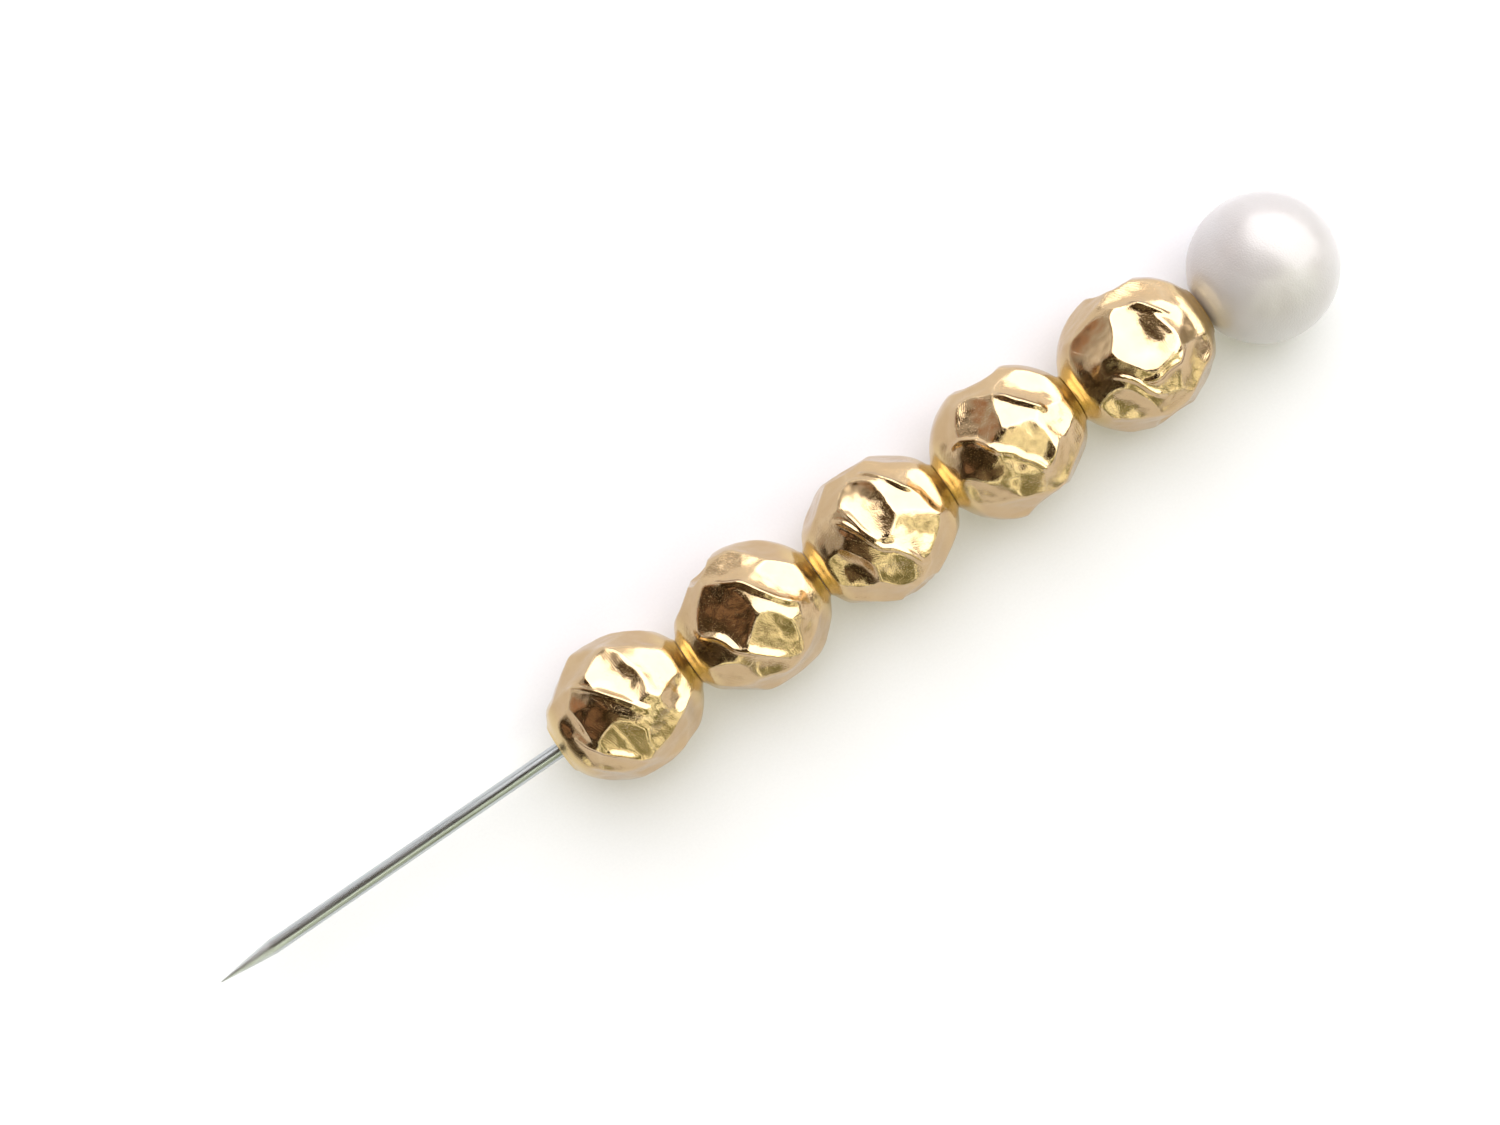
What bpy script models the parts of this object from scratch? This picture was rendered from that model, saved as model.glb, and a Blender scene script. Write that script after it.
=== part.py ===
"""Pearl-headed hat pin with five gold nugget beads on its steel shaft.

The pin lies along +X, from its ground point at -X to the pearl at +X, on the plane z = 0.
The origin is on that plane, halfway along the pin. Beads are counted from the point: bead 1 is
bonded to the shaft and holds the others against the pearl, and beads 2 to 5 turn on the shaft.
Lengths below are in millimetres and become metres when a mesh is made.
"""

import math

import bmesh
import bpy
from mathutils import Vector

MM = 0.001

# Shaft: a two-inch pin wire with a ground point
WIRE_LENGTH = 50.8
WIRE_RADIUS = 0.315
POINT_LENGTH = 2.5
POINT_FULLNESS = 1.15
TIP_RADIUS = 0.02
BARE_SHAFT = 16.2

# Pearl: a 6 mm ball with a blind bore that the wire's end is bonded into
PEARL_RADIUS = 3.0
PEARL_BORE_DEPTH = 4.5
MOUTH_CHAMFER = 0.08

# Beads: one egg-shaped barrel with a collar at each end, and hollows cut round it. A hollow's
# edge lies RIDGE_DEPTH below the barrel, and hollows fade out between two distances from its middle.
BEAD_COUNT = 5
BEAD_LENGTH = 6.06
BEAD_RADIUS = 2.97
BARREL_HALF_LENGTH = 3.16
COLLAR_RADIUS = 1.04
COLLAR_FILLET = 0.09
COLLAR_CHAMFER = 0.03
HOLLOWS_FADE_FROM = 2.30
HOLLOWS_END = 2.85
UNDERSIDE = 65
RIDGE_DEPTH = 0.15
RIDGE_SOFTNESS = 0.028

# Fits
BORE_RADIUS = 0.40
TOUCHING_GAP = 0.02
GLUE_FILM = 0.01
GLUE_RECESS = 0.3

# Mesh density
BEAD_STEPS = 48
BARREL_ROWS = 20
PEARL_STEPS = 48
PEARL_ROWS = 20
WIRE_STEPS = 24

# Places along the pin, measured from the point
PEARL_START = BARE_SHAFT + BEAD_COUNT * (BEAD_LENGTH + TOUCHING_GAP)
OVERALL_LENGTH = PEARL_START + 2 * PEARL_RADIUS
POINT_X = -OVERALL_LENGTH / 2
AXIS_HEIGHT = PEARL_RADIUS

# The hollows of each bead, but for its underside: x along the shaft from the bead's middle,
# degrees around the shaft from the top towards +y, half length, half width, turn of the long side
# from +x in degrees, and how dished it is: 1 is flat across its width, and more is hollower.
UPPER_HOLLOWS = (
    (
        (-2.15, 12, 0.75, 0.50, 98, 3.5),
        (-1.85, 45, 0.70, 0.50, 20, 1.6),
        (-1.15, 14, 1.25, 0.60, -73, 1.8),
        (0.02, 5, 1.40, 0.42, -52, 2.6),
        (0.50, 24, 1.30, 0.85, -80, 2.5),
        (1.75, 22, 1.10, 0.60, -68, 1.4),
        (0.10, -13, 1.15, 0.34, -38, 1.6),
        (-0.55, -26, 1.00, 0.78, -75, 2.2),
        (0.85, -33, 0.70, 0.55, 0, 2.0),
        (-1.45, -44, 1.00, 0.45, -45, 2.0),
        (-2.25, -24, 0.80, 0.45, -55, 1.8),
        (2.10, -22, 0.70, 0.45, 20, 2.5),
        (-0.90, 62, 1.20, 0.75, 8, 1.3),
        (0.70, 76, 0.90, 0.60, -15, 1.5),
        (1.75, 62, 0.80, 0.60, -30, 1.4),
        (-1.90, 85, 0.90, 0.75, 30, 1.2),
        (-0.30, 104, 1.20, 0.70, 0, 1.3),
        (1.40, 104, 0.90, 0.70, -20, 1.3),
        (1.10, -62, 1.10, 0.70, 8, 1.5),
        (-0.50, -70, 1.00, 0.60, -10, 1.5),
        (-1.95, -72, 0.90, 0.70, -35, 1.3),
        (0.30, -98, 1.10, 0.70, 5, 1.3),
        (2.00, -66, 0.80, 0.60, 40, 1.4),
    ),
    (
        (-0.95, 15, 1.35, 1.15, 110, 1.45),
        (-1.80, -12, 1.35, 0.52, -60, 1.8),
        (-1.80, -40, 0.75, 0.60, 0, 1.5),
        (-0.60, -41, 0.85, 0.42, -30, 2.0),
        (0.40, -23, 1.15, 0.90, -80, 1.7),
        (1.50, -36, 0.70, 0.50, -70, 1.6),
        (0.75, 7, 1.35, 0.52, -48, 1.5),
        (1.70, 19, 1.25, 0.80, -55, 2.1),
        (0.60, 47, 1.15, 0.75, -20, 1.8),
        (-2.00, 48, 1.00, 0.60, 50, 1.4),
        (1.90, 60, 0.85, 0.60, -45, 1.4),
        (2.20, -25, 0.75, 0.45, 60, 1.6),
        (-0.80, 84, 0.65, 1.00, -10, 2.6),
        (-2.00, 92, 0.80, 0.80, 30, 1.2),
        (-1.00, -68, 0.90, 0.60, -10, 1.4),
        (0.60, -72, 1.00, 0.60, 5, 1.4),
        (1.80, -68, 0.90, 0.60, 30, 1.4),
        (-2.00, -84, 0.80, 0.70, -30, 1.2),
        (-0.20, -102, 1.00, 0.70, 0, 1.3),
    ),
    (
        (-0.08, 23, 1.45, 0.85, -82, 1.8),
        (-1.05, 13, 1.25, 0.40, -60, 2.0),
        (-1.95, 27, 0.80, 0.48, 75, 1.6),
        (-1.95, -19, 1.00, 0.72, -60, 3.2),
        (-0.70, -12, 1.15, 0.42, -42, 1.6),
        (-0.60, -33, 0.75, 0.48, -15, 2.0),
        (0.40, -32, 1.00, 0.30, -62, 1.5),
        (1.05, -19, 1.10, 0.92, -60, 1.5),
        (1.25, 18, 1.05, 0.55, -60, 1.5),
        (2.15, 20, 1.00, 0.45, -65, 2.6),
        (1.15, 53, 1.15, 0.70, -30, 1.6),
        (-1.20, 55, 1.10, 0.55, 25, 1.5),
        (0.10, 88, 1.10, 0.95, 0, 2.0),
        (-1.80, 80, 0.90, 0.70, 30, 1.3),
        (1.90, 78, 0.80, 0.70, -35, 1.3),
        (-1.60, -55, 1.00, 0.60, -35, 1.6),
        (0.05, -84, 0.75, 0.90, -10, 2.2),
        (1.60, -55, 1.00, 0.60, 35, 1.5),
        (1.40, -90, 1.00, 0.70, 10, 1.2),
        (-1.60, -92, 0.90, 0.70, -20, 1.2),
    ),
    (
        (-0.90, 29, 1.10, 0.92, 60, 1.45),
        (-1.55, -3, 1.40, 0.60, -50, 1.7),
        (0.30, -12, 1.25, 1.05, 80, 1.25),
        (0.45, 24, 1.25, 0.50, -52, 1.5),
        (1.65, 36, 1.30, 0.82, -40, 2.1),
        (1.75, -8, 0.90, 0.75, 85, 1.5),
        (-1.90, -35, 0.80, 0.55, -20, 1.5),
        (-0.45, -37, 1.00, 0.40, -28, 2.1),
        (1.35, -40, 1.15, 0.65, 20, 1.7),
        (-2.20, 42, 0.90, 0.50, 55, 1.5),
        (0.40, 58, 0.90, 0.50, -20, 1.5),
        (0.25, 88, 1.00, 1.00, 0, 2.4),
        (0.25, -86, 1.00, 1.00, 0, 2.2),
        (-1.30, -64, 1.00, 0.60, -20, 1.4),
        (1.80, -78, 0.80, 0.70, 30, 1.3),
    ),
    (
        (0.30, 13, 1.45, 1.15, 80, 2.3),
        (1.60, 22, 1.15, 0.85, -48, 1.5),
        (-1.25, 36, 0.95, 0.75, 5, 1.8),
        (-0.65, 50, 0.80, 0.32, -38, 2.0),
        (-2.10, 23, 0.70, 0.42, 60, 1.6),
        (1.15, 48, 1.25, 0.75, -20, 1.9),
        (2.15, 35, 0.85, 0.40, -62, 2.0),
        (2.10, -8, 0.95, 0.55, 85, 1.6),
        (1.50, -36, 1.05, 0.65, 25, 2.0),
        (0.30, -36, 0.80, 0.55, 0, 1.8),
        (-0.85, -27, 1.35, 0.36, -55, 1.6),
        (-1.70, -37, 1.05, 0.65, -55, 2.3),
        (-2.00, -9, 0.80, 0.50, -65, 1.5),
        (0.60, 90, 0.85, 1.00, 0, 2.6),
        (-0.90, 72, 0.70, 0.50, 0, 1.3),
        (0.00, -86, 0.80, 1.00, 0, 2.8),
        (-1.40, -75, 0.80, 0.60, -20, 1.3),
        (1.35, -75, 0.80, 0.60, 15, 1.3),
    ),
)


def clear_scene():
    """Removes every object that the file holds."""
    for obj in list(bpy.data.objects):
        bpy.data.objects.remove(obj, do_unlink=True)


def make_material(name, color, roughness, metallic):
    """One Principled BSDF material."""
    material = bpy.data.materials.new(name)
    material.use_nodes = True
    shader = material.node_tree.nodes["Principled BSDF"]
    shader.inputs["Base Color"].default_value = (*color, 1.0)
    shader.inputs["Roughness"].default_value = roughness
    shader.inputs["Metallic"].default_value = metallic
    return material


def turned_mesh(profile, steps, ring):
    """A bmesh turned about the X axis from a profile of (x, radius) points in millimetres.

    A ring's profile is a closed loop off the axis; any other profile runs from axis to axis.
    """
    bm = bmesh.new()
    verts = [bm.verts.new((x * MM, 0.0, radius * MM)) for x, radius in profile]
    edges = [bm.edges.new(pair) for pair in zip(verts, verts[1:])]
    if ring:
        edges.append(bm.edges.new((verts[-1], verts[0])))
    bmesh.ops.spin(
        bm,
        geom=verts + edges,
        cent=(0.0, 0.0, 0.0),
        axis=(1.0, 0.0, 0.0),
        angle=2 * math.pi,
        steps=steps,
        use_merge=True,
    )
    bmesh.ops.remove_doubles(bm, verts=bm.verts[:], dist=0.0001 * MM)
    bmesh.ops.recalc_face_normals(bm, faces=bm.faces[:])
    return bm


def place(name, bm, along, material):
    """Makes the node from its bmesh, with its origin on the shaft's axis."""
    mesh = bpy.data.meshes.new(name)
    bm.to_mesh(mesh)
    bm.free()
    mesh.shade_smooth()
    mesh.set_sharp_from_angle(angle=math.radians(40))
    mesh.materials.append(material)
    obj = bpy.data.objects.new(name, mesh)
    obj.location = ((POINT_X + along) * MM, 0.0, AXIS_HEIGHT * MM)
    bpy.context.scene.collection.objects.link(obj)
    return obj


def shaft_profile():
    """The wire from its point to its cut end, with its point at x = 0."""
    rows = 6
    profile = [(0.0, 0.0)]
    for row in range(rows + 1):
        share = row / rows
        grown = 1 - (1 - share) ** POINT_FULLNESS
        radius = TIP_RADIUS + (WIRE_RADIUS - TIP_RADIUS) * grown
        profile.append((TIP_RADIUS + share * POINT_LENGTH, radius))
    profile.append((WIRE_LENGTH - TOUCHING_GAP, WIRE_RADIUS))
    profile.append((WIRE_LENGTH, WIRE_RADIUS - TOUCHING_GAP))
    profile.append((WIRE_LENGTH, 0.0))
    return profile


def pearl_profile():
    """The ball with its blind bore, with its bored side at x = 0."""
    mouth = BORE_RADIUS + MOUTH_CHAMFER
    start = math.asin(mouth / PEARL_RADIUS)
    profile = [(PEARL_BORE_DEPTH, 0.0), (PEARL_BORE_DEPTH, BORE_RADIUS)]
    rim = PEARL_RADIUS * (1 - math.cos(start))
    profile.append((rim + MOUTH_CHAMFER, BORE_RADIUS))
    for row in range(PEARL_ROWS):
        angle = start + (math.pi - start) * row / PEARL_ROWS
        profile.append((PEARL_RADIUS * (1 - math.cos(angle)), PEARL_RADIUS * math.sin(angle)))
    profile.append((2 * PEARL_RADIUS, 0.0))
    return profile


def glue_radii():
    """Inner and outer radius of a film of glue between the wire and a bore."""
    return WIRE_RADIUS + GLUE_FILM, BORE_RADIUS - GLUE_FILM


def pearl_glue_profile():
    """A cup of glue round the wire's end, filling the pearl's bore; x = 0 is the bored side."""
    inner, outer = glue_radii()
    wire_end = WIRE_LENGTH - PEARL_START
    floor = PEARL_BORE_DEPTH - TOUCHING_GAP
    return [
        (wire_end + TOUCHING_GAP, 0.0),
        (wire_end + TOUCHING_GAP, inner),
        (GLUE_RECESS, inner),
        (GLUE_RECESS, outer),
        (floor, outer),
        (floor, 0.0),
    ]


def stop_glue_profile():
    """A sleeve of glue in the bore of bead 1, centred on x = 0."""
    inner, outer = glue_radii()
    half = BEAD_LENGTH / 2 - GLUE_RECESS
    return [(-half, inner), (half, inner), (half, outer), (-half, outer)]


def barrel_radius(x):
    """The bead's radius at x from its middle, before its hollows: barrel blending into collar."""
    barrel = BEAD_RADIUS * math.sqrt(max(1 - (x / BARREL_HALF_LENGTH) ** 2, 0.0))
    blend = math.exp(barrel / COLLAR_FILLET) + math.exp(COLLAR_RADIUS / COLLAR_FILLET)
    return COLLAR_FILLET * math.log(blend)


def bead_profile():
    """The closed loop that the bead is turned from: collar, barrel, collar and bore."""
    half = BEAD_LENGTH / 2
    shoulder = half - COLLAR_CHAMFER
    rim = barrel_radius(shoulder) - COLLAR_CHAMFER
    first = math.acos(shoulder / BARREL_HALF_LENGTH)
    profile = [(half, BORE_RADIUS), (half, rim)]
    for row in range(BARREL_ROWS + 1):
        angle = first + (math.pi - 2 * first) * row / BARREL_ROWS
        x = BARREL_HALF_LENGTH * math.cos(angle)
        profile.append((x, barrel_radius(x)))
    profile += [(-half, rim), (-half, BORE_RADIUS)]
    return profile


def outward(point):
    """The bead's outward normal at a point on it, before its hollows."""
    x, y, z = point
    step = 0.001
    slope = (barrel_radius(x + step) - barrel_radius(x - step)) / (2 * step)
    radius = math.hypot(y, z)
    return Vector((-slope, y / radius, z / radius)).normalized()


class Hollow:
    """One shallow dish, cut into the barrel around a point of it."""

    def __init__(self, x, around, half_length, half_width, turn, dish):
        radius, roll = barrel_radius(x), math.radians(around)
        self.middle = Vector((x, radius * math.sin(roll), radius * math.cos(roll)))
        self.normal = outward(self.middle)
        level = Vector((1, 0, 0)) - self.normal * self.normal.x
        level.normalize()
        upright = self.normal.cross(level)
        angle = math.radians(turn)
        self.long_side = level * math.cos(angle) + upright * math.sin(angle)
        self.short_side = self.normal.cross(self.long_side)
        flat = 0.5 / BEAD_RADIUS
        relief = dish * flat * half_width**2
        self.depth = RIDGE_DEPTH + relief
        self.long_bend = relief / half_length**2 - flat
        self.short_bend = relief / half_width**2 - flat

    def cut(self, point, normal):
        """How far below the barrel's surface the dish lies at a point, negative outside it."""
        offset = point - self.middle
        facing = self.normal.dot(normal)
        if facing < 0.25:
            return -1.0
        along, across = offset.dot(self.long_side), offset.dot(self.short_side)
        floor = self.long_bend * along**2 + self.short_bend * across**2 - self.depth
        return (offset.dot(self.normal) - floor) / facing


def hollows_of(bead):
    """A bead's own hollows above, and those of the bead after next, turned over, below."""
    own = [Hollow(*sizes) for sizes in UPPER_HOLLOWS[bead]]
    others = UPPER_HOLLOWS[(bead + 2) % BEAD_COUNT]
    below = [sizes for sizes in others if abs(sizes[1]) < UNDERSIDE]
    return own + [Hollow(x, around + 180, *rest) for x, around, *rest in below]


def carved(point, hollows):
    """The barrel's point moved down into the hollows, with softened ridges between them."""
    fade = (HOLLOWS_END - abs(point.x)) / (HOLLOWS_END - HOLLOWS_FADE_FROM)
    if fade <= 0.0:
        return point
    fade = min(fade, 1.0)
    fade = fade * fade * (3 - 2 * fade)
    normal = outward(point)
    total = 1 + sum(math.exp(h.cut(point, normal) / RIDGE_SOFTNESS) for h in hollows)
    return point - normal * RIDGE_SOFTNESS * math.log(total) * fade


def bead_mesh(bead):
    """The turned barrel with its bore, carved with the hollows of that bead."""
    bm = turned_mesh(bead_profile(), BEAD_STEPS, ring=True)
    hollows = hollows_of(bead)
    for vert in bm.verts:
        vert.co = carved(vert.co / MM, hollows) * MM
    bmesh.ops.triangulate(bm, faces=[f for f in bm.faces if len(f.verts) > 3])
    return bm


def main():
    """Builds every piece of the pin."""
    clear_scene()
    steel = make_material("pin_steel", (0.62, 0.62, 0.58), 0.28, 1.0)
    gold = make_material("bead_gold", (0.85, 0.66, 0.36), 0.12, 1.0)
    pearl = make_material("pearl_coat", (0.80, 0.75, 0.71), 0.30, 0.0)
    glue = make_material("clear_glue", (0.86, 0.84, 0.76), 0.40, 0.0)

    place("pin_shaft", turned_mesh(shaft_profile(), WIRE_STEPS, ring=False), 0.0, steel)
    pearl_mesh = turned_mesh(pearl_profile(), PEARL_STEPS, ring=False)
    place("pearl_head", pearl_mesh, PEARL_START, pearl)
    pearl_glue = turned_mesh(pearl_glue_profile(), WIRE_STEPS, ring=False)
    place("pearl_adhesive", pearl_glue, PEARL_START, glue)

    pitch = BEAD_LENGTH + TOUCHING_GAP
    for bead in range(BEAD_COUNT):
        middle = BARE_SHAFT + BEAD_LENGTH / 2 + bead * pitch
        place(f"nugget_bead_{bead + 1}", bead_mesh(bead), middle, gold)
    stop_glue = turned_mesh(stop_glue_profile(), WIRE_STEPS, ring=True)
    place("stop_bead_adhesive", stop_glue, BARE_SHAFT + BEAD_LENGTH / 2, glue)


main()
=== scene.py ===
"""The looks of the pearl-headed hat pin: fine meshes, metal, pearl and steel materials, and the studio.

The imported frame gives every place. The pin lies along +X, point at -X, on the floor z = 0.
Shapes are worked out in millimetres around each piece's own origin, which is placed in metres.
"""

import math

import bpy
import numpy as np
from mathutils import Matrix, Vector, noise


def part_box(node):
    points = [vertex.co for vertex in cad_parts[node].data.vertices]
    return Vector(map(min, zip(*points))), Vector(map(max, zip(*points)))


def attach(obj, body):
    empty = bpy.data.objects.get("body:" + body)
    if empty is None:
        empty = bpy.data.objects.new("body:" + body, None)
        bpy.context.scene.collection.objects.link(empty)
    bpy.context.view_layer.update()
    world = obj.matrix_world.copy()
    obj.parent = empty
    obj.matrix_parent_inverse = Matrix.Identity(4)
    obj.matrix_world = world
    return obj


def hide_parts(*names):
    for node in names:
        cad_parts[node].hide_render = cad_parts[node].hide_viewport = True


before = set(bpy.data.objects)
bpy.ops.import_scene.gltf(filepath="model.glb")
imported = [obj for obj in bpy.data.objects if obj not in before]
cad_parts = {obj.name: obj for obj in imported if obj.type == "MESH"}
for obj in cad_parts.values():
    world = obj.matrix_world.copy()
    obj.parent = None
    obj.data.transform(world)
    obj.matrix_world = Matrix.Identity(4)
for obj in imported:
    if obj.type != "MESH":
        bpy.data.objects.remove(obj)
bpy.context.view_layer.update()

MM = 0.001

# Sizes are in millimetres unless a comment says otherwise.

# A bead: an ellipse turned about the shaft (a power above 2 makes it squarer), running out into a
# collar at each end
BEAD_COUNT = 5
BEAD_LENGTH = 6.06
BEAD_RADIUS = 2.97
BARREL_HALF_LENGTH = 3.16
BARREL_POWER = 2.0
COLLAR_RADIUS = 1.04
COLLAR_FILLET = 0.09
COLLAR_LIP = 0.03
LIP_BULGE = 0.3 * COLLAR_LIP
BORE_RADIUS = 0.40
COLLAR_MIDDLE = (BORE_RADIUS + COLLAR_RADIUS) / 2

# Its hollows: where along x they fade out; how many degrees from the top another bead's may lie to
# serve for the underside; how squarely a dish must face the surface that it cuts; how deep a
# hollow's rim lies below the barrel; and how soft the ridges between hollows are
HOLLOWS_FADE_FROM = 2.30
HOLLOWS_END = 2.85
UNDERSIDE = 65
LEAST_FACING = 0.25
RIDGE_DEPTH = 0.15
RIDGE_SOFTNESS = 0.028

# What the gold reads of them: the width of the paler ridges, and the shift of each hollow's file marks
# The ridges are painted paler: partly wear, partly a painted highlight
RIDGE_WIDTH = 0.03
MARKS_SHIFT = 0.37

# Its unevenness: how far the hollows' edges wander and over what distance, waves as (size, height),
# and the crests raised between some hollows
WANDER = 0.16
WANDER_SIZE = 1.1
WAVES = ((0.9, 0.030), (0.38, 0.013))
CREST_HEIGHT = 0.12
CREST_WIDTH = 0.12
CREST_TAPER = 0.5

# Its mesh: rows from lip to lip, steps round, the number of rows on the end before them, and the
# points of the fine outline that the rows are spread on
BEAD_ROWS = 236
BEAD_STEPS = 400
BEAD_FIRST_ROW = 4
OUTLINE_SAMPLES = 4001

# Pearl
PEARL_RADIUS = 3.0
PEARL_BORE_DEPTH = 4.5
MOUTH_CHAMFER = 0.08
PEARL_ROWS = 128
PEARL_STEPS = 192

# Wire: its ground point, how far the stone's scratches go past it, and its mesh
WIRE_RADIUS = 0.315
WIRE_END_CHAMFER = 0.02
POINT_LENGTH = 2.5
POINT_FULLNESS = 1.15
TIP_RADIUS = 0.02
GROUND_PAST_POINT = 0.1
GROUND_FADE = 0.25
POINT_ROWS = 24
WIRE_ROWS = 40
WIRE_STEPS = 64

# Edges sharper than this many degrees are shaded sharp
SHARP_EDGE = 50

# Colours, linear; where there are several, they run from the low end of a noise to its high end
GOLD = ((0.50, 0.35, 0.195), (0.525, 0.375, 0.215), (0.55, 0.40, 0.235))
# Paler gold for the ridges: partly wear, partly a painted highlight
WORN_AND_HIGHLIT_GOLD = (0.64, 0.50, 0.33)
COLLAR_GOLD = (0.66, 0.50, 0.25)
PEARL = ((0.475, 0.437, 0.432), (0.49, 0.457, 0.46), (0.50, 0.482, 0.495))
MICA = (0.50, 0.46, 0.43)
STEEL = ((0.46, 0.49, 0.51), (0.57, 0.60, 0.62))
GROUND_STEEL = (0.68, 0.71, 0.72)
GLUE = ((0.74, 0.70, 0.58), (0.86, 0.84, 0.76))
BOARD = ((0.85, 0.845, 0.88), (0.87, 0.865, 0.90))
ROOM = ((0.03, 0.020, 0.009), (0.10, 0.072, 0.042), (0.30, 0.225, 0.155))
OVERHEAD = (0.035, 0.025, 0.012)
WINDOW_FRAME = (2.5, 2.6, 2.0)
WINDOW_VIEW = ((0.24, 0.25, 0.12), (0.52, 0.52, 0.30))
HORIZON = (0.70, 0.68, 0.66)
COPPER = (0.60, 0.37, 0.26)

# The room's window: its middle, half width and bars in degrees turned from +X towards +Y, and its top
# in degrees down from overhead; the width of its frame and bars in radians; and the fade of its
# edges, at the sides in radians and at the top in height
WINDOW_AROUND = -92.0
WINDOW_HALF_WIDTH = 46.0
WINDOW_TOP = 33.0
WINDOW_BAR = 0.10
WINDOW_BARS = (-113.0, -76.0, -56.0)
WINDOW_SIDE_FADE = 0.03
WINDOW_TOP_FADE = 0.015

# The room's copper lamp shades, in degrees: turned from +X towards +Y, tilted down from overhead,
# and reach; and the fade of their edges, as a cosine
LAMP_SHADES = ((150.0, 42.0, 6.0), (124.0, 65.0, 12.0))
LAMP_SHADE_FADE = 0.01

# Softboxes: azimuth in the picture from right towards up, and elevation, in degrees; distance,
# width and height in metres
KEY_SOFTBOX = (60.0, 40.0, 0.40, 0.90, 0.54)
FILL_SOFTBOX = (95.0, 60.0, 0.80, 1.10, 1.10)
KEY_SHINE_WATTS = 6.2
KEY_WATTS = 3.5
FILL_WATTS = 9.6
SHINE_COLOR = (1.0, 1.0, 1.0)
KEY_COLOR = (0.98, 0.99, 1.0)
FILL_COLOR = (0.96, 0.97, 1.0)

# The side of the board under the pin, in metres
FLOOR_SIZE = 6.0

# Camera: straight above, turned so that the pin lies across the picture
PICTURE_TURN = math.radians(34.45)
CAMERA_X = 0.14
CAMERA_Y = 1.84
CAMERA_ABOVE_SHAFT = 110.0
PICTURE_WIDTH = 58.9
SENSOR_WIDTH = 36.0

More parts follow.
